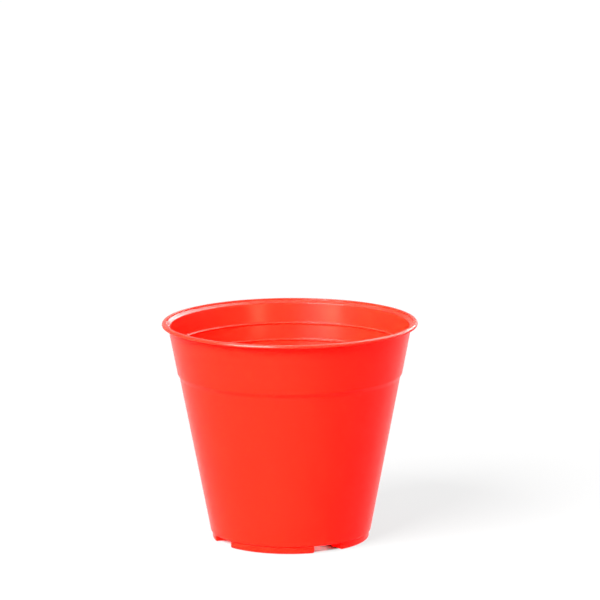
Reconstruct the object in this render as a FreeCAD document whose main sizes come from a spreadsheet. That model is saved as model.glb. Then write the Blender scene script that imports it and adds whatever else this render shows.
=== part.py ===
import FreeCAD, Part
import Sketcher
import math
import os

# A round injection-moulded plant pot: one thin moulding with a flared rim, a collar above a
# shallow shoulder, a tapered wall, and a base that stands on four hollow feet.
# Millimetres, +Z up. The origin is on the floor under the feet, on the pot's axis.
# Each foot is centred on a side of the X or Y axis, and the drain notches lie between them.

SIZES = (
    ("rim_diameter", "130", "over the outside of the lip"),
    ("pot_height", "112", "floor to the top of the lip"),
    ("base_diameter", "81.7", "outside of the wall at its lower edge"),
    ("wall_thickness", "1", "level thickness of the wall"),
    ("lip_overhang", "3.03", "how far the lip stands out from the collar"),
    ("lip_thickness", "1.75", "height of the lip's outer edge"),
    ("bead_width", "2.3", "flat ring on top of the lip"),
    ("seat_depth", "0.8", "drop from the lip's top to its inner chamfer"),
    ("mouth_depth", "2", "top of the lip to the foot of the inner chamfer"),
    ("shoulder_depth", "26.2", "top of the lip to the top of the outer shoulder"),
    ("shoulder_height", "2", "height of the shoulder's slope"),
    ("shoulder_step", "0.67", "how far the collar stands out from the wall"),
    ("upper_ledge_depth", "11.8", "top of the lip to the upper inner ledge"),
    ("lower_ledge_depth", "20.2", "top of the lip to the lower inner ledge"),
    ("ledge_height", "0.5", "height of a ledge's slope"),
    ("ledge_land", "1.6", "upright strip under a ledge"),
    ("ledge_step", "0.25", "how far each ledge thickens the wall"),
    ("base_thickness", "1", "base plate and the bottom of the feet"),
    ("foot_height", "3.8", "floor to the underside of the base plate"),
    ("foot_inset", "0.9", "foot at the floor, in from the wall's lower edge"),
    ("foot_width", "8.6", "across a foot at the floor"),
    ("foot_draft", "3", "side of a foot from vertical, degrees"),
    ("foot_count", "4", "feet, and notches between them"),
    ("notch_angle", "22.5", "opening between two feet, degrees"),
    ("trough_wall", "1", "walls around the hollow inside a foot"),
    ("drain_inset", "10.85", "middle of a drain slot, in from the wall's lower edge"),
    ("drain_length", "13", "drain slot, outwards"),
    ("drain_width", "8", "drain slot, across"),
    ("gate_diameter", "12", "moulding recess under the middle of the base"),
    ("gate_depth", "0.6", "depth of the moulding recess"),
    ("lip_round", "0.7", "rounding of the lip's outer edges"),
    ("bead_round", "0.3", "rounding of the ring's inner edge and the chamfer's foot"),
    ("shoulder_round", "2.2", "rounding above and below the shoulder"),
    ("ledge_round", "0.2", "rounding of the inner ledges"),
    ("wall_end_round", "0.6", "rounding of the wall's lower edge"),
    ("foot_round", "0.5", "rounding under the feet"),
    ("corner_round", "1.2", "rounding inside the pot, around the base"),
)

NEAR = 1e-4

BASE = "Sizes.base_diameter / 2"
RIM = "Sizes.rim_diameter / 2"
FOOT = "(Sizes.base_diameter / 2 - Sizes.foot_inset)"
FOOT_ARC = "(360 / Sizes.foot_count - Sizes.notch_angle)"
TAPER = ("(Sizes.rim_diameter / 2 - Sizes.lip_overhang - Sizes.shoulder_step - Sizes.base_diameter / 2)"
         " / (Sizes.pot_height - Sizes.lip_thickness - Sizes.foot_height)")


def fill_sheet(document):
    sheet = document.addObject("Spreadsheet::Sheet", "Sizes")
    for row, (name, value, note) in enumerate(SIZES, start=1):
        sheet.set("A%d" % row, name)
        sheet.set("B%d" % row, value)
        sheet.set("C%d" % row, note)
        sheet.setAlias("B%d" % row, name)
    document.recompute()
    return sheet


def below_rim(depth):
    """Height of a level that is this far under the top of the lip."""
    return "(Sizes.pot_height - %s)" % depth


def wall_outside(height):
    """Outer radius of the plain wall at a height."""
    return BASE + " + (%s - Sizes.foot_height) * %s" % (height, TAPER)


def collar_outside(height):
    return wall_outside(height) + " + Sizes.shoulder_step"


def wall_inside(height, ledges_below):
    """Inner radius at a height that has this many ledges under it."""
    step = " - Sizes.wall_thickness + %d * Sizes.ledge_step" % ledges_below
    return wall_outside(height) + step


def ledge_corners(name, depth, ledges_below):
    """A ledge, from its top: a slope inwards, then an upright land that meets the wall below."""
    top = below_rim(depth)
    edge = below_rim("(%s + Sizes.ledge_height)" % depth)
    end = below_rim("(%s + Sizes.ledge_height + Sizes.ledge_land)" % depth)
    land = wall_inside(end, ledges_below)
    return (
        (name + " top", wall_inside(top, ledges_below + 1), top),
        (name + " edge", land, edge),
        (name + " end", land, end),
    )


def shell_corners():
    """Half section of the wall, rim and base plate, anticlockwise from under the base."""
    under = "Sizes.foot_height"
    floor = "(Sizes.foot_height + Sizes.base_thickness)"
    shoulder_top = below_rim("Sizes.shoulder_depth")
    shoulder_end = below_rim("(Sizes.shoulder_depth + Sizes.shoulder_height)")
    under_lip = below_rim("Sizes.lip_thickness")
    seat = below_rim("Sizes.seat_depth")
    mouth = below_rim("Sizes.mouth_depth")
    bead = RIM + " - Sizes.bead_width"
    gate = "Sizes.gate_diameter / 2"
    outside = (
        ("gate middle", "0", under + " + Sizes.gate_depth"),
        ("gate edge", gate, under + " + Sizes.gate_depth"),
        ("gate end", gate, under),
        ("wall end", wall_outside(under), under),
        ("shoulder end", wall_outside(shoulder_end), shoulder_end),
        ("shoulder top", collar_outside(shoulder_top), shoulder_top),
        ("under lip", collar_outside(under_lip), under_lip),
        ("lip bottom", RIM, under_lip),
        ("lip top", RIM, "Sizes.pot_height"),
        ("bead edge", bead, "Sizes.pot_height"),
        ("seat", bead, seat),
        ("mouth", wall_inside(mouth, 2), mouth),
    )
    upper = ledge_corners("upper ledge", "Sizes.upper_ledge_depth", 1)
    lower = ledge_corners("lower ledge", "Sizes.lower_ledge_depth", 0)
    gate_top = "Sizes.gate_diameter / 2 + Sizes.base_thickness"
    inside = (
        ("base corner", wall_inside(floor, 0), floor),
        ("gate rise", gate_top, floor),
        ("gate step", gate_top, floor + " + Sizes.gate_depth"),
        ("gate top", "0", floor + " + Sizes.gate_depth"),
    )
    return outside + upper + lower + inside


def foot_corners():
    """Section of a foot, from the floor up into the base plate."""
    top = "(Sizes.foot_height + Sizes.base_thickness / 2)"
    spread = top + " * tan(Sizes.foot_draft)"
    inner = FOOT + " - Sizes.foot_width"
    return (
        ("inner floor", inner, "0"),
        ("outer floor", FOOT, "0"),
        ("outer top", FOOT + " + " + spread, top),
        ("inner top", inner + " - " + spread, top),
    )


def trough_corners():
    """Section of the hollow inside a foot, from its bottom to above the base plate."""
    floor = "Sizes.base_thickness"
    top = "(Sizes.foot_height + 2 * Sizes.base_thickness)"
    low = floor + " * tan(Sizes.foot_draft)"
    high = top + " * tan(Sizes.foot_draft)"
    outer = FOOT + " - Sizes.trough_wall"
    inner = FOOT + " - Sizes.foot_width + Sizes.trough_wall"
    return (
        ("inner floor", inner + " - " + low, floor),
        ("outer floor", outer + " + " + low, floor),
        ("outer top", outer + " + " + high, top),
        ("inner top", inner + " - " + high, top),
    )


def origin_feature(body, role):
    return [item for item in body.Origin.OriginFeatures if item.Role == role][0]


def new_sketch(body, name, plane):
    sketch = body.newObject("Sketcher::SketchObject", name)
    sketch.AttachmentSupport = [(origin_feature(body, plane), "")]
    sketch.MapMode = "FlatFace"
    return sketch


def draw_section(body, name, corners):
    """A closed outline in the XZ plane, each corner held by its radius and its height."""
    sketch = new_sketch(body, name, "XZ_Plane")
    count = len(corners)
    start = [FreeCAD.Vector(20 + index, index * index, 0) for index in range(count)]
    for index in range(count):
        sketch.addGeometry(Part.LineSegment(start[index], start[(index + 1) % count]))
    for index in range(count):
        following = (index + 1) % count
        sketch.addConstraint(Sketcher.Constraint("Coincident", index, 2, following, 1))
    for index, (corner, radius, height) in enumerate(corners):
        for axis, size in (("X", radius), ("Y", height)):
            kind = "Distance" + axis
            value = start[index].x if axis == "X" else start[index].y
            constraint = sketch.addConstraint(Sketcher.Constraint(kind, -1, 1, index, 1, value))
            sketch.setExpression("Constraints[%d]" % constraint, size)
    return sketch


def draw_slot(body, name, sheet):
    """A slot with round ends that points outwards along the middle of a notch."""
    sketch = new_sketch(body, name, "XY_Plane")
    half_pitch = 180.0 / sheet.get("foot_count")
    sketch.AttachmentOffset = FreeCAD.Placement(
        FreeCAD.Vector(), FreeCAD.Rotation(FreeCAD.Vector(0, 0, 1), half_pitch))
    sketch.setExpression("AttachmentOffset.Rotation.Angle", "180 / Sizes.foot_count * 1 deg")
    round_end = sheet.get("drain_width") / 2
    reach = (sheet.get("drain_length") - sheet.get("drain_width")) / 2
    middle = sheet.get("base_diameter") / 2 - sheet.get("drain_inset")
    for side in (-1, 1):
        centre = FreeCAD.Vector(middle + side * reach, 0, 0)
        circle = Part.Circle(centre, FreeCAD.Vector(0, 0, 1), round_end)
        first = -side * math.pi / 2
        sketch.addGeometry(Part.ArcOfCircle(circle, first, first + math.pi))
    for side in (-1, 1):
        left = FreeCAD.Vector(middle - reach, side * round_end, 0)
        right = FreeCAD.Vector(middle + reach, side * round_end, 0)
        sketch.addGeometry(Part.LineSegment(left, right))
    inner, outer, lower, upper = range(4)
    joins = (
        ("Tangent", inner, 2, lower, 1),
        ("Tangent", inner, 1, upper, 1),
        ("Tangent", outer, 1, lower, 2),
        ("Tangent", outer, 2, upper, 2),
        ("PointOnObject", inner, 3, -1),
        ("PointOnObject", outer, 3, -1),
    )
    for join in joins:
        sketch.addConstraint(Sketcher.Constraint(*join))
    middle_size = BASE + " - Sizes.drain_inset"
    reach_size = "(Sizes.drain_length - Sizes.drain_width) / 2"
    sizes = (
        (("Radius", inner, round_end), "Sizes.drain_width / 2"),
        (("DistanceX", -1, 1, inner, 3, middle - reach), middle_size + " - " + reach_size),
        (("DistanceX", -1, 1, outer, 3, middle + reach), middle_size + " + " + reach_size),
    )
    for constraint, size in sizes:
        number = sketch.addConstraint(Sketcher.Constraint(*constraint))
        sketch.setExpression("Constraints[%d]" % number, size)
    return sketch


def turn_section(body, name, kind, sketch, angle):
    """Revolve a section about the pot's axis, evenly to both sides of its plane."""
    feature = body.newObject("PartDesign::" + kind, name)
    feature.Profile = sketch
    feature.ReferenceAxis = (sketch, ["V_Axis"])
    feature.Midplane = True
    feature.setExpression("Angle", angle)
    return feature


def repeat_around(body, name, feature):
    """Copy a feature once for each foot."""
    pattern = body.newObject("PartDesign::PolarPattern", name)
    pattern.Originals = [feature]
    pattern.Axis = (origin_feature(body, "Z_Axis"), [""])
    pattern.Angle = 360
    pattern.setExpression("Occurrences", "Sizes.foot_count")
    body.Tip = pattern
    return pattern


def corner_place(sketch, corners, name):
    names = [corner[0] for corner in corners]
    point = sketch.Geometry[names.index(name)].StartPoint
    return point.x, point.y


def ring_edges(shape, radius, height):
    """Names of the round edges about the axis with this radius and height."""
    found = []
    for number, edge in enumerate(shape.Edges, start=1):
        curve = edge.Curve
        if not isinstance(curve, Part.Circle):
            continue
        on_level = abs(curve.Center.z - height) < NEAR
        if on_level and abs(curve.Radius - radius) < NEAR and abs(curve.Center.x) < NEAR:
            found.append("Edge%d" % number)
    return found


def floor_edges(shape):
    """Names of the edges that lie on the floor, under the feet."""
    found = []
    for number, edge in enumerate(shape.Edges, start=1):
        if edge.BoundBox.ZMax < NEAR:
            found.append("Edge%d" % number)
    return found


def round_edges(body, name, edges, size):
    """Round the named edges of the body as it stands."""
    if not edges:
        raise RuntimeError(name + ": no edges to round")
    base = body.Tip
    fillet = body.newObject("PartDesign::Fillet", name)
    fillet.Base = (base, edges)
    fillet.setExpression("Radius", size)
    body.Tip = fillet
    body.Document.recompute()
    return fillet


def round_rings(body, name, sketch, corners, chosen, size):
    shape = body.Tip.Shape
    edges = []
    for corner in chosen:
        edges += ring_edges(shape, *corner_place(sketch, corners, corner))
    return round_edges(body, name, edges, size)


def check_removed(before, after, name):
    if after.Volume > before - NEAR:
        raise RuntimeError(name + " removed nothing")


def build_pot(document, sheet):
    body = document.addObject("PartDesign::Body", "Pot")
    body.Label = "pot"
    corners = shell_corners()
    section = draw_section(body, "ShellSection", corners)
    turn_section(body, "Shell", "Revolution", section, "360 deg")

    foot_section = draw_section(body, "FootSection", foot_corners())
    foot = turn_section(body, "Foot", "Revolution", foot_section, FOOT_ARC + " * 1 deg")
    repeat_around(body, "Feet", foot)
    document.recompute()
    rings = (
        ("ShoulderRound", ("shoulder end", "shoulder top"), "Sizes.shoulder_round"),
        ("LipRound", ("lip bottom", "lip top"), "Sizes.lip_round"),
        ("BeadRound", ("bead edge", "mouth"), "Sizes.bead_round"),
        ("LedgeRound", ("upper ledge top", "upper ledge edge", "lower ledge top",
                        "lower ledge edge"), "Sizes.ledge_round"),
        ("WallEndRound", ("wall end",), "Sizes.wall_end_round"),
        ("CornerRound", ("base corner",), "Sizes.corner_round"),
    )
    for name, chosen, size in rings:
        round_rings(body, name, section, corners, chosen, size)
    round_edges(body, "FootRound", floor_edges(body.Tip.Shape), "Sizes.foot_round")

    solid_feet = body.Tip.Shape.Volume
    end_wall = "atan(Sizes.trough_wall / (%s - Sizes.foot_width / 2))" % FOOT
    trough_arc = FOOT_ARC + " * 1 deg - 2 * " + end_wall
    trough_section = draw_section(body, "TroughSection", trough_corners())
    trough = turn_section(body, "Trough", "Groove", trough_section, trough_arc)
    troughs = repeat_around(body, "Troughs", trough)
    document.recompute()
    check_removed(solid_feet, troughs.Shape, "Troughs")

    undrained = body.Tip.Shape.Volume
    drain = body.newObject("PartDesign::Pocket", "Drain")
    drain.Profile = draw_slot(body, "DrainSlot", sheet)
    drain.Type = "ThroughAll"
    drain.Reversed = True
    drains = repeat_around(body, "Drains", drain)
    document.recompute()
    check_removed(undrained, drains.Shape, "Drains")
    return body


def check_document(document, parts):
    for item in document.Objects:
        if "Invalid" in item.State or "Error" in item.State:
            raise RuntimeError("%s: %s" % (item.Name, item.State))
    for part in parts:
        if part.Shape.isNull() or not part.Shape.isValid():
            raise RuntimeError(part.Label + " has no valid shape")
        if len(part.Shape.Solids) != 1:
            raise RuntimeError(part.Label + " is not one solid")


def write_parts(parts):
    os.makedirs("parts", exist_ok=True)
    for part in parts:
        part.Shape.exportStep("parts/%s.step" % part.Label)
        box = part.Shape.optimalBoundingBox(False)
        print("%s: %.2f x %.2f x %.2f mm, %.0f mm3"
              % (part.Label, box.XLength, box.YLength, box.ZLength, part.Shape.Volume))


document = FreeCAD.newDocument("PlantPot")
parts = [build_pot(document, fill_sheet(document))]
document.recompute()
check_document(document, parts)
write_parts(parts)
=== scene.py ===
import math

import bmesh
import bpy
from mathutils import Matrix, Vector


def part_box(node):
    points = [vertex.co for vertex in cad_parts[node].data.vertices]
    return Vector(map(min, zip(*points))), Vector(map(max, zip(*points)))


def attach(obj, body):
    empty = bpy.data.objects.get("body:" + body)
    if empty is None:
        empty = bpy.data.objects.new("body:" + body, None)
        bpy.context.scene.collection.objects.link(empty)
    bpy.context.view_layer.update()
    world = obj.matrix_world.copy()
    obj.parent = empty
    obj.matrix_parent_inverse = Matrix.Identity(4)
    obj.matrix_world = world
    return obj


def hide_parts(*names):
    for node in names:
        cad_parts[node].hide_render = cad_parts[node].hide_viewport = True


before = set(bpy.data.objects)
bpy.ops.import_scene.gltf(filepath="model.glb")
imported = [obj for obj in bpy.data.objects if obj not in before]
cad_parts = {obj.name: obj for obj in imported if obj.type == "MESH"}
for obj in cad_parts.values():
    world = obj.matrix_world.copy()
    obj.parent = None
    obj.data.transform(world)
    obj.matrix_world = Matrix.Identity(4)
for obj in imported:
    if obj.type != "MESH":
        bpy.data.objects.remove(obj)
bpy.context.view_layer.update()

# A round plant pot, injection moulded in one piece from red polypropylene. Metres, +Z up,
# with the pot's axis on Z and its feet on the floor. The half section is drawn as an outline
# of corners, rounded, and spun. The feet are then drawn down out of the base plate, the
# troughs inside them out of the pot's floor, and the drains are cut.

# Overall size, with the height from the frame
POT_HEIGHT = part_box("pot")[1][2]
RIM_RADIUS = 0.130 / 2
BASE_RADIUS = 0.0817 / 2

# Rim
LIP_OVERHANG = 0.00303
LIP_THICKNESS = 0.00175
BEAD_WIDTH = 0.0023
SEAT_DEPTH = 0.0008
MOUTH_DEPTH = 0.0020

# Wall
WALL_THICKNESS = 0.0010
SHOULDER_DEPTH = 0.0262
SHOULDER_HEIGHT = 0.0020
SHOULDER_STEP = 0.00067
LEDGE_DEPTHS = (0.0118, 0.0202)
LEDGE_HEIGHT = 0.0005
LEDGE_LAND = 0.0016
LEDGE_STEP = 0.00025
LEDGE_NOSE = 0.00022
LEDGE_UNDERCUT = 0.0007

# Base and feet
FOOT_HEIGHT = 0.0038
BASE_THICKNESS = 0.0010
FOOT_COUNT = 4
FOOT_INSET = 0.0009
FOOT_WIDTH = 0.0086
FOOT_DRAFT = math.tan(math.radians(3))
FOOT_ROUND = 0.0012  # asked for: the bevel stops at about 0.87 mm, before it overlaps itself
TROUGH_WALL = 0.0010
TROUGH_ROUND = 0.0003
DRAIN_INSET = 0.01085
DRAIN_LENGTH = 0.0130
DRAIN_WIDTH = 0.0080
GATE_RADIUS = 0.0060
GATE_DEPTH = 0.0006
GATE_NUB_RADIUS = 0.0012
GATE_NUB_HEIGHT = 0.0004
GATE_NUB_FLARE = 0.0001

# Radii of the section's rounded corners
WALL_END_ROUND = 0.0006
SHOULDER_ROUND = 0.0022
LIP_ROOT_ROUND = 0.0004
LIP_LOWER_ROUND = 0.0005
LIP_UPPER_ROUND = 0.0012
BEAD_ROUND = 0.0003
SEAT_ROUND = 0.0002
MOUTH_ROUND = 0.0003
LEDGE_TOP_ROUND = 0.0002
LEDGE_NOSE_ROUND = 0.00015
LEDGE_UNDERCUT_ROUND = 0.0006
FLOOR_CORNER_ROUND = 0.0012
FLOOR_RISE_ROUND = 0.0004
GATE_ROUND = 0.0002
GATE_NUB_ROUND = 0.0001
DEGREES_PER_SEGMENT = 9

# Round the axis: a foot and the notch beside it share a quarter of the turn
NOTCH_STEPS = 14
FOOT_STEPS = 42
END_STEPS = 3
TROUGH_END_STEPS = 1
QUARTER_STEPS = NOTCH_STEPS + FOOT_STEPS
TURN_STEPS = FOOT_COUNT * QUARTER_STEPS
STEP_ANGLE = 2 * math.pi / TURN_STEPS

WALL_TAPER = (RIM_RADIUS - LIP_OVERHANG - SHOULDER_STEP - BASE_RADIUS) / (
    POT_HEIGHT - LIP_THICKNESS - FOOT_HEIGHT)
RING_SPACING = 0.006
SHARP_ANGLE = math.radians(35)
UPRIGHT_CORNER_ANGLE = math.radians(45)
DRAIN_SEGMENTS = 48
NEAR = 1e-6


def wall_outside(height):
    return BASE_RADIUS + (height - FOOT_HEIGHT) * WALL_TAPER


def wall_inside(height, ledges_below):
    return wall_outside(height) - WALL_THICKNESS + ledges_below * LEDGE_STEP


def ledge_corners(depth, ledges_below):
    """Slope inwards to a nose, then back under it to the wall. Each corner is radius, height
    and rounding."""
    top = POT_HEIGHT - depth
    edge = top - LEDGE_HEIGHT
    end = edge - LEDGE_LAND
    nose = wall_inside(end, ledges_below) - LEDGE_NOSE
    back = edge - LEDGE_UNDERCUT
    return [
        (wall_inside(top, ledges_below + 1), top, LEDGE_TOP_ROUND),
        (nose, edge, LEDGE_NOSE_ROUND),
        (wall_inside(back, ledges_below), back, LEDGE_UNDERCUT_ROUND),
    ]


def outside_corners():
    """From the wall's lower edge up to the bead on top of the lip."""
    shoulder_top = POT_HEIGHT - SHOULDER_DEPTH
    shoulder_end = shoulder_top - SHOULDER_HEIGHT
    under_lip = POT_HEIGHT - LIP_THICKNESS
    return [
        (BASE_RADIUS, FOOT_HEIGHT, WALL_END_ROUND),
        (wall_outside(shoulder_end), shoulder_end, SHOULDER_ROUND),
        (wall_outside(shoulder_top) + SHOULDER_STEP, shoulder_top, SHOULDER_ROUND),
        (wall_outside(under_lip) + SHOULDER_STEP, under_lip, LIP_ROOT_ROUND),
        (RIM_RADIUS, under_lip, LIP_LOWER_ROUND),
        (RIM_RADIUS, POT_HEIGHT, LIP_UPPER_ROUND),
        (RIM_RADIUS - BEAD_WIDTH, POT_HEIGHT, BEAD_ROUND),
    ]


def inside_corners():
    """From the drop inside the lip down to the floor of the pot."""
    seat = POT_HEIGHT - SEAT_DEPTH
    mouth = POT_HEIGHT - MOUTH_DEPTH
    floor = FOOT_HEIGHT + BASE_THICKNESS
    corners = [
        (RIM_RADIUS - BEAD_WIDTH, seat, SEAT_ROUND),
        (wall_inside(mouth, len(LEDGE_DEPTHS)), mouth, MOUTH_ROUND),
    ]
    for above, depth in enumerate(LEDGE_DEPTHS, start=1):
        corners += ledge_corners(depth, len(LEDGE_DEPTHS) - above)
    corners.append((wall_inside(floor, 0), floor, FLOOR_CORNER_ROUND))
    return corners


def foot_radii():
    """Inner and outer radius of the feet, where they leave the base plate."""
    inner = BASE_RADIUS - FOOT_INSET - FOOT_WIDTH - FOOT_HEIGHT * FOOT_DRAFT
    outer = BASE_RADIUS - FOOT_INSET + FOOT_HEIGHT * FOOT_DRAFT
    return inner, outer


def trough_radii():
    """Inner and outer radius of the troughs, at the floor of the pot."""
    floor = FOOT_HEIGHT + BASE_THICKNESS
    inner = BASE_RADIUS - FOOT_INSET - FOOT_WIDTH + TROUGH_WALL - floor * FOOT_DRAFT
    outer = BASE_RADIUS - FOOT_INSET - TROUGH_WALL + floor * FOOT_DRAFT
    return inner, outer


def under_base_corners():
    """Under the base plate, from the axis outwards, with the radii that the feet start at."""
    under = FOOT_HEIGHT
    foot_inner, foot_outer = foot_radii()
    recess = under + GATE_DEPTH
    nub = recess - GATE_NUB_HEIGHT
    return [
        (0, nub, 0),
        (GATE_NUB_RADIUS, nub, GATE_ROUND),
        (GATE_NUB_RADIUS + GATE_NUB_FLARE, recess, GATE_NUB_ROUND),
        (GATE_RADIUS, recess, GATE_ROUND),
        (GATE_RADIUS, under, GATE_ROUND),
        (foot_inner, under, 0),
        (foot_outer, under, 0),
    ]


def over_base_corners():
    """The floor of the pot, from the wall to the axis, with the radii of the troughs."""
    floor = FOOT_HEIGHT + BASE_THICKNESS
    inner, outer = trough_radii()
    rise = GATE_RADIUS + BASE_THICKNESS
    return [
        (outer, floor, 0),
        (inner, floor, 0),
        (rise, floor, FLOOR_RISE_ROUND),
        (rise, floor + GATE_DEPTH, FLOOR_RISE_ROUND),
        (0, floor + GATE_DEPTH, 0),
    ]


def rounding_reach(corner, before, after, rounding):
    """How far along its two sides a corner's rounding starts, and how far the corner turns."""
    to_before = (before - corner).normalized()
    to_after = (after - corner).normalized()
    turn = math.pi - to_before.angle(to_after)
    return rounding * math.tan(turn / 2), turn


def draw_section(bm):
    """The half section as a chain of edges in the XZ plane, with its corners rounded."""
    corners = under_base_corners() + outside_corners() + inside_corners() + over_base_corners()
    chain = [bm.verts.new((radius, 0, height)) for radius, height, rounding in corners]
    for start, end in zip(chain, chain[1:]):
        bm.edges.new((start, end))
    places = [vert.co.copy() for vert in chain]
    for index, (radius, height, rounding) in enumerate(corners):
        if not rounding:
            continue
        reach, turn = rounding_reach(places[index], places[index - 1], places[index + 1], rounding)
        segments = max(2, round(math.degrees(turn) / DEGREES_PER_SEGMENT))
        bmesh.ops.bevel(bm, geom=[chain[index]], offset=reach, offset_type="OFFSET",
                        segments=segments, profile=0.5, affect="VERTICES", material=-1)


def cut_edge(edge, end, distance):
    """Put a corner on the edge at a distance from its end, and return the rest of the edge."""
    far = edge.other_vert(end)
    corner = bmesh.utils.edge_split(edge, end, distance / edge.calc_length())[1]
    return next(part for part in corner.link_edges if part.other_vert(corner) is far)


def rise_of(edge):
    return abs(edge.verts[0].co.z - edge.verts[1].co.z)


def split_long_edges(bm, longest):
    """Rings up the walls, with one close to each rounding to keep the shading even. Level
    edges get none."""
    guard = longest / 12
    walls = [edge for edge in bm.edges if rise_of(edge) > 4 * guard]
    for edge in walls:
        start, end = edge.verts
        edge = cut_edge(edge, start, guard)
        cut_edge(edge, end, guard)
    for edge in list(bm.edges):
        cuts = int(rise_of(edge) / longest)
        if cuts:
            bmesh.ops.subdivide_edges(bm, edges=[edge], cuts=cuts)


def spin_section(bm):
    """Turn the section about the axis, starting at the middle of a foot."""
    bmesh.ops.spin(bm, geom=bm.verts[:] + bm.edges[:], cent=(0, 0, 0), axis=(0, 0, 1),
                   dvec=(0, 0, 0), angle=2 * math.pi, steps=TURN_STEPS, use_merge=True,
                   use_duplicate=False)
    bmesh.ops.remove_doubles(bm, verts=bm.verts[:], dist=NEAR)
    bmesh.ops.recalc_face_normals(bm, faces=bm.faces[:])


def radius_of(place):
    return math.hypot(place.x, place.y)


def steps_from_foot(place):
    """Angle from the middle of the nearest foot, in turning steps."""
    step = math.atan2(place.y, place.x) / STEP_ANGLE
    return abs((step + QUARTER_STEPS / 2) % QUARTER_STEPS - QUARTER_STEPS / 2)


def level_faces(bm, height, inner, outer, half_steps):
    """Level faces between two radii, within so many steps of the middle of each foot."""
    found = []
    for face in bm.faces:
        middle = face.calc_center_median()
        if abs(middle.z - height) > NEAR or abs(face.normal.z) < 0.9:
            continue
        if inner < radius_of(middle) < outer and steps_from_foot(middle) < half_steps:
            found.append(face)
    return found


def draw_down(bm, height, inner, outer, half_steps, rounding):
    """Draw level faces down into feet or troughs whose sides lean in, and round their edges."""
    faces = level_faces(bm, height, inner, outer, half_steps)
    made = bmesh.ops.extrude_face_region(bm, geom=faces)["geom"]
    bmesh.ops.delete(bm, geom=faces, context="FACES_KEEP_BOUNDARY")
    verts = [item for item in made if isinstance(item, bmesh.types.BMVert)]
    centre = (inner + outer) / 2
    narrowing = FOOT_HEIGHT * FOOT_DRAFT / (outer - centre)
    for vert in verts:
        radius = radius_of(vert.co)
        lean = narrowing * (centre - radius)
        vert.co += Vector((vert.co.x / radius * lean, vert.co.y / radius * lean, -FOOT_HEIGHT))
    join_steps_by_ends(bm, verts, half_steps)
    round_bottom(bm, height - FOOT_HEIGHT, rounding)


def join_steps_by_ends(bm, verts, half_steps):
    """Take out the last turning steps at each end of a foot, to leave its corners room."""
    spare = set()
    for vert in verts:
        step = steps_from_foot(vert.co)
        if 0.5 < half_steps - step < END_STEPS - 0.5:
            spare.update(edge for edge in vert.link_edges
                         if abs(steps_from_foot(edge.other_vert(vert).co) - step) < 0.1)
    bmesh.ops.dissolve_edges(bm, edges=list(spare), use_verts=True)


def round_bottom(bm, height, rounding):
    """Round the lower edges and the upright corners of what was drawn down to this height."""
    bottoms = {face for face in bm.faces
               if all(abs(vert.co.z - height) < NEAR for vert in face.verts)}
    rim = {edge for face in bottoms for edge in face.edges
           if not bottoms.issuperset(edge.link_faces)}
    corners = {vert for edge in rim for vert in edge.verts}
    upright = {edge for vert in corners for edge in vert.link_edges
               if edge not in rim and is_upright_corner(edge)}
    bmesh.ops.bevel(bm, geom=list(rim | upright), offset=rounding, offset_type="OFFSET",
                    segments=5, profile=0.5, affect="EDGES", clamp_overlap=True, material=-1)


def is_upright_corner(edge):
    return rise_of(edge) > FOOT_HEIGHT / 2 and edge.calc_face_angle(0) > UPRIGHT_CORNER_ANGLE


def draw_feet(bm):
    """The feet, out of the underside, and then the troughs, out of the pot's floor."""
    inner, outer = foot_radii()
    draw_down(bm, FOOT_HEIGHT, inner, outer, FOOT_STEPS / 2, FOOT_ROUND)

    floor = FOOT_HEIGHT + BASE_THICKNESS
    inner, outer = trough_radii()
    draw_down(bm, floor, inner, outer, FOOT_STEPS / 2 - TROUGH_END_STEPS, TROUGH_ROUND)


def drain_cutter():
    """Four upright blocks with round ends, one through each notch's part of the base plate."""
    bm = bmesh.new()
    reach = (DRAIN_LENGTH - DRAIN_WIDTH) / 2
    bmesh.ops.create_circle(bm, cap_ends=True, segments=DRAIN_SEGMENTS,
                            radius=DRAIN_WIDTH / 2)
    for vert in bm.verts:
        vert.co.x += math.copysign(reach, vert.co.x)
    raised = bmesh.ops.extrude_face_region(bm, geom=bm.faces[:])["geom"]
    top = [item for item in raised if isinstance(item, bmesh.types.BMVert)]
    lift = FOOT_HEIGHT + 4 * BASE_THICKNESS
    bmesh.ops.translate(bm, vec=(0, 0, lift), verts=top)
    place = (BASE_RADIUS - DRAIN_INSET, 0, BASE_THICKNESS)
    bmesh.ops.translate(bm, vec=place, verts=bm.verts[:])
    first = bm.verts[:] + bm.edges[:] + bm.faces[:]
    for foot in range(FOOT_COUNT):
        turn = Matrix.Rotation(2 * math.pi * (foot + 0.5) / FOOT_COUNT, 3, "Z")
        copy = bmesh.ops.duplicate(bm, geom=first)["geom"]
        verts = [item for item in copy if isinstance(item, bmesh.types.BMVert)]
        bmesh.ops.rotate(bm, cent=(0, 0, 0), matrix=turn, verts=verts)
    bmesh.ops.delete(bm, geom=first, context="VERTS")
    bmesh.ops.recalc_face_normals(bm, faces=bm.faces[:])
    mesh = bpy.data.meshes.new("drain_cutter")
    bm.to_mesh(mesh)
    bm.free()
    return bpy.data.objects.new("drain_cutter", mesh)


def cut_drains(piece):
    """Cut the slots through the base plate, and merge the tiny edges that the cut leaves."""
    cutter = drain_cutter()
    bpy.context.scene.collection.objects.link(cutter)
    cut = piece.modifiers.new("drains", "BOOLEAN")
    cut.operation = "DIFFERENCE"
    cut.solver = "EXACT"
    cut.object = cutter
    graph = bpy.context.evaluated_depsgraph_get()
    mesh = bpy.data.meshes.new_from_object(piece.evaluated_get(graph))
    piece.modifiers.clear()
    piece.data = mesh
    mesh.name = "moulded_pot"
    bpy.data.objects.remove(cutter)
    bm = bmesh.new()
    bm.from_mesh(mesh)
    bmesh.ops.remove_doubles(bm, verts=bm.verts[:], dist=2 * NEAR)
    bm.to_mesh(mesh)
    bm.free()


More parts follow.
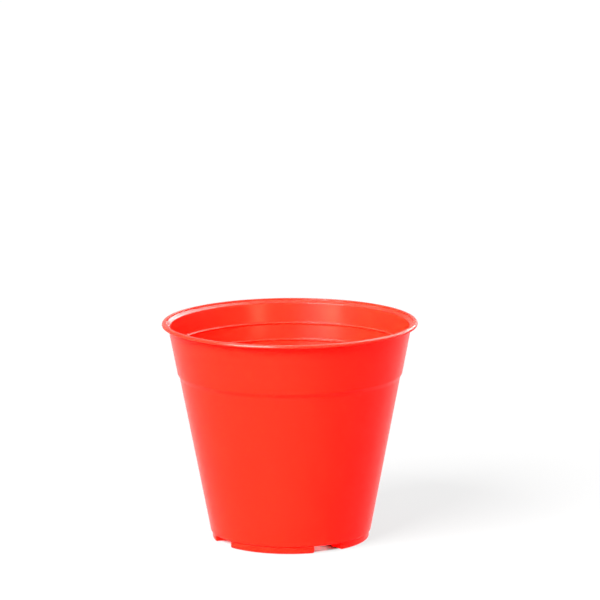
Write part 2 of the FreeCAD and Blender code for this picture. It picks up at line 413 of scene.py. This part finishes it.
def mould_pot():
    bm = bmesh.new()
    draw_section(bm)
    split_long_edges(bm, RING_SPACING)
    spin_section(bm)
    draw_feet(bm)
    mesh = bpy.data.meshes.new("moulded_pot")
    bm.to_mesh(mesh)
    bm.free()
    piece = bpy.data.objects.new("moulded_pot", mesh)
    bpy.context.scene.collection.objects.link(piece)
    cut_drains(piece)
    piece.data.shade_smooth()
    piece.data.set_sharp_from_angle(angle=SHARP_ANGLE)
    return piece


def vary(nodes, links, place, scale, low, high, detail=2):
    """A number between low and high that drifts over the piece."""
    noise = nodes.new("ShaderNodeTexNoise")
    noise.inputs["Scale"].default_value = scale
    noise.inputs["Detail"].default_value = detail
    links.new(place, noise.inputs["Vector"])
    spread = nodes.new("ShaderNodeMapRange")
    spread.inputs["From Min"].default_value = 0.3
    spread.inputs["From Max"].default_value = 0.7
    spread.inputs["To Min"].default_value = low
    spread.inputs["To Max"].default_value = high
    links.new(noise.outputs["Fac"], spread.inputs["Value"])
    return spread.outputs["Result"]


def press(nodes, links, height, depth, strength, under=None):
    """A bump of this depth in metres, over the bump under it."""
    bump = nodes.new("ShaderNodeBump")
    bump.inputs["Strength"].default_value = strength
    bump.inputs["Distance"].default_value = depth
    links.new(height, bump.inputs["Height"])
    if under:
        links.new(under, bump.inputs["Normal"])
    return bump.outputs["Normal"]


def red_polypropylene():
    """Satin red plastic: colour that drifts with the flow, draw marks up the wall and a
    fine grain."""
    material = bpy.data.materials.new("red_polypropylene")
    material.use_nodes = True
    nodes, links = material.node_tree.nodes, material.node_tree.links
    shader = nodes["Principled BSDF"]
    shader.inputs["IOR"].default_value = 1.49
    shader.inputs["Specular IOR Level"].default_value = 0.09
    shader.inputs["Subsurface Weight"].default_value = 0.6
    shader.inputs["Subsurface Radius"].default_value = (1, 0.06, 0.04)
    shader.inputs["Subsurface Scale"].default_value = 0.0012
    place = nodes.new("ShaderNodeTexCoord").outputs["Object"]
    upwards = nodes.new("ShaderNodeMapping")
    upwards.inputs["Scale"].default_value = (1, 1, 0.08)
    links.new(place, upwards.inputs["Vector"])
    flow = upwards.outputs["Vector"]

    blend = nodes.new("ShaderNodeMix")
    blend.data_type = "RGBA"
    blend.inputs["A"].default_value = (0.93, 0.0044, 0.0015, 1)
    blend.inputs["B"].default_value = (0.93, 0.0049, 0.0017, 1)
    links.new(vary(nodes, links, flow, 45, 0, 1), blend.inputs["Factor"])
    links.new(blend.outputs["Result"], shader.inputs["Base Color"])
    links.new(vary(nodes, links, flow, 160, 0.22, 0.27), shader.inputs["Roughness"])

    marks = press(nodes, links, vary(nodes, links, flow, 420, 0, 1), 0.000006, 0.4)
    grain = press(nodes, links, vary(nodes, links, place, 2600, 0, 1), 0.00001, 0.3, marks)
    links.new(grain, shader.inputs["Normal"])
    return material


def by_distance(nodes, links, start, end, near, far):
    """A number that changes from near to far as a place on the floor gets further from the pot."""
    place = nodes.new("ShaderNodeTexCoord").outputs["Object"]
    distance = nodes.new("ShaderNodeVectorMath")
    distance.operation = "LENGTH"
    links.new(place, distance.inputs[0])
    change = nodes.new("ShaderNodeMapRange")
    change.interpolation_type = "SMOOTHSTEP"
    change.inputs["From Min"].default_value = start
    change.inputs["From Max"].default_value = end
    change.inputs["To Min"].default_value = near
    change.inputs["To Max"].default_value = far
    links.new(distance.outputs["Value"], change.inputs["Value"])
    return change.outputs["Result"]


# Floor
# Under the pot: painted shade, where the glow is masked off, and painted light, where the floor is
# paler
UNDER_POT_PAINTED_SPAN = (0.035, 0.038)
ALBEDO = (0.25, 0.025)
GLOW_SPAN = (0.1, 1.5)
GLOW = (0.75, 0.9)
FLOOR_HALF_SIDE = 6
FLOOR_DROP = 0.00005


def floor_with_painted_light_and_shade():
    """A light table: dark itself, with a glow that is a little brighter further out. Under the pot
    it has no glow, which is painted shade, and is paler itself, which is painted light on the
    patch that the drains let light onto."""
    material = bpy.data.materials.new("pale_floor")
    material.use_nodes = True
    nodes, links = material.node_tree.nodes, material.node_tree.links
    shader = nodes["Principled BSDF"]
    shader.inputs["Roughness"].default_value = 0.9
    shader.inputs["Specular IOR Level"].default_value = 0
    shader.inputs["Emission Color"].default_value = (1, 1, 1, 1)
    # Paler floor under the pot: painted light on the patch under the drains
    albedo_paler_under_pot = by_distance(nodes, links, *UNDER_POT_PAINTED_SPAN, *ALBEDO)
    links.new(albedo_paler_under_pot, shader.inputs["Base Color"])
    glow = nodes.new("ShaderNodeMath")
    glow.operation = "MULTIPLY"
    # No glow under the pot: painted shade
    links.new(by_distance(nodes, links, *UNDER_POT_PAINTED_SPAN, 0, 1), glow.inputs[0])
    links.new(by_distance(nodes, links, *GLOW_SPAN, *GLOW), glow.inputs[1])
    links.new(glow.outputs["Value"], shader.inputs["Emission Strength"])
    mesh = bpy.data.meshes.new("floor")
    bm = bmesh.new()
    bmesh.ops.create_grid(bm, x_segments=1, y_segments=1, size=FLOOR_HALF_SIDE)
    bmesh.ops.translate(bm, vec=(0, 0, -FLOOR_DROP), verts=bm.verts[:])
    bm.to_mesh(mesh)
    bm.free()
    floor = bpy.data.objects.new("floor", mesh)
    floor.data.materials.append(material)
    bpy.context.scene.collection.objects.link(floor)


# Studio
WARM = (1, 0.9, 0.5)
CAMERA_TURN = math.radians(16.3)
CAMERA_DISTANCE = 2.147
CAMERA_HEIGHT = 0.5265
CAMERA_TILT = 0.18584
CAMERA_AIM = 0.00245
CAMERA_ROLL = -0.0047
CAMERA_LENS = 258.3


def place_camera():
    data = bpy.data.cameras.new("camera")
    data.lens = CAMERA_LENS
    data.clip_end = 50
    camera = bpy.data.objects.new("camera", data)
    bpy.context.scene.collection.objects.link(camera)
    stand = Matrix.Translation((0, -CAMERA_DISTANCE, CAMERA_HEIGHT))
    place = Matrix.Rotation(CAMERA_TURN, 4, "Z") @ stand
    aim = Matrix.Rotation(-CAMERA_AIM, 4, "Z") @ Matrix.Rotation(math.pi / 2 - CAMERA_TILT, 4, "X")
    camera.matrix_world = place @ aim @ Matrix.Rotation(CAMERA_ROLL, 4, "Z")
    bpy.context.scene.camera = camera


def soft_light(name, turn, rise, distance, size, power, colour=(1, 1, 1)):
    """An area light, seen from the pot at this turn from the camera and this rise, in degrees."""
    data = bpy.data.lights.new(name, "AREA")
    data.color = colour
    data.shape = "RECTANGLE"
    data.size, data.size_y = size
    data.energy = power
    light = bpy.data.objects.new(name, data)
    bpy.context.scene.collection.objects.link(light)
    angle = CAMERA_TURN + math.radians(turn)
    lift = math.radians(rise)
    level = math.cos(lift)
    towards = Vector((math.sin(angle) * level, -math.cos(angle) * level, math.sin(lift)))
    light.location = towards * distance + Vector((0, 0, POT_HEIGHT / 2))
    light.rotation_mode = "QUATERNION"
    light.rotation_quaternion = towards.to_track_quat("Z", "Y")


def light_studio():
    world = bpy.data.worlds.new("studio")
    world.use_nodes = True
    background = world.node_tree.nodes["Background"]
    background.inputs["Color"].default_value = (1, 1, 1, 1)
    background.inputs["Strength"].default_value = 0.85
    bpy.context.scene.world = world
    soft_light("key_softbox", -39, 40, 2.2, (1.4, 1.4), 750)
    soft_light("top_softbox", 0, 88, 2.0, (4.0, 4.0), 160)
    soft_light("rear_softbox", 140, 38, 2.5, (2.4, 2.4), 190)
    soft_light("left_strip", -42, 9, 2.5, (0.6, 0.35), 17, WARM)
    soft_light("right_strip", 32, 9, 1.6, (0.4, 0.25), 8, WARM)
    settings = bpy.context.scene.view_settings
    settings.view_transform = "Standard"
    settings.look = "None"


pot = mould_pot()
pot.data.materials.clear()
pot.data.materials.append(red_polypropylene())
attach(pot, "root")
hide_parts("pot")

floor_with_painted_light_and_shade()
light_studio()
place_camera()
